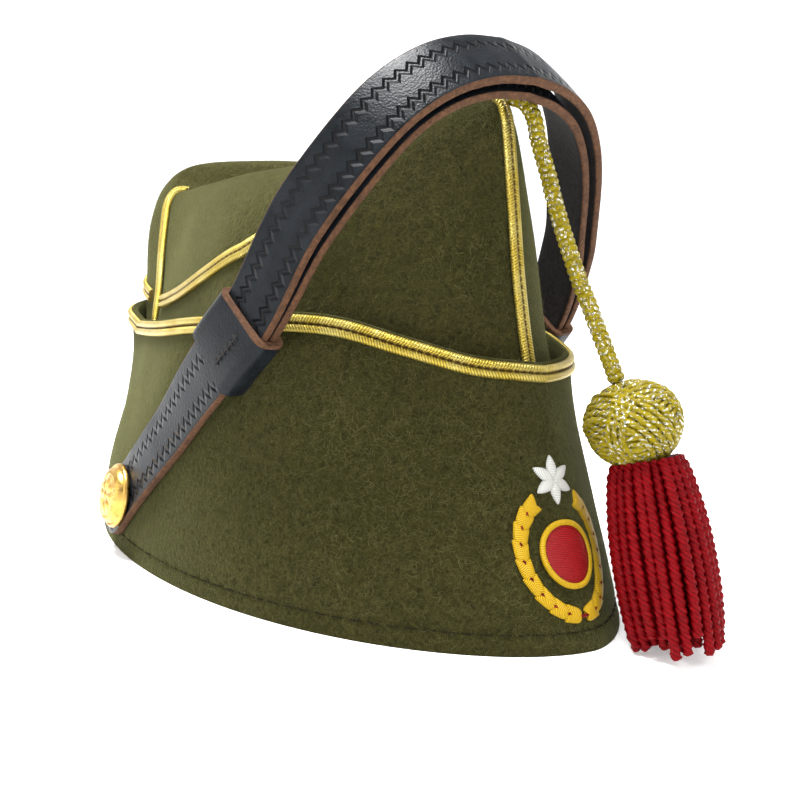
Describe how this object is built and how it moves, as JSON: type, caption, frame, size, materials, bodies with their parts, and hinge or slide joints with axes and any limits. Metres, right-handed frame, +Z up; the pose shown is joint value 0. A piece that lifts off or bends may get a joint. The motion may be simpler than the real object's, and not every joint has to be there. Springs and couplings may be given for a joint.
{
  "type": "garrison_cap",
  "caption": "Olive felt side cap with a turned-up curtain, gold braid on its seams, a doubled black leather chin strap over the peak and a red-fringed tassel.",
  "frame": {"origin": "centre of the cap's rim, on the floor, with the tassel left out of the measure", "axes": "+Z up, the cap's front looks along -Y, the wearer's right is at -X"},
  "size_m": [0.143, 0.2442, 0.164],
  "materials": {
    "olive felt": "matt, short fibres",
    "gold braid": "metallic thread, satin",
    "black leather": "semi-gloss with raw brown edges",
    "button brass": "polished relief",
    "gold and silver thread": "metallic thread, glinting",
    "red fringe": "satin twist",
    "white thread": "satin stitch"
  },
  "bodies": {
    "root": {"crown": "olive felt", "curtain": "olive felt", "curtain_braid": "gold braid", "front_seam_braid": "gold braid", "rear_seam_braid": "gold braid", "diagonal_braid_right": "gold braid", "diagonal_braid_left": "gold braid", "strap_right": "black leather", "strap_left": "black leather", "keeper_right": "black leather", "keeper_left": "black leather", "button_right": "button brass", "button_left": "button brass", "tassel_cord": "gold and silver thread", "tassel_knot": "gold and silver thread", "tassel_fringe": "red fringe", "badge_wreath": "gold braid", "badge_field": "red fringe", "badge_star": "white thread"}
  },
  "joints": []
}
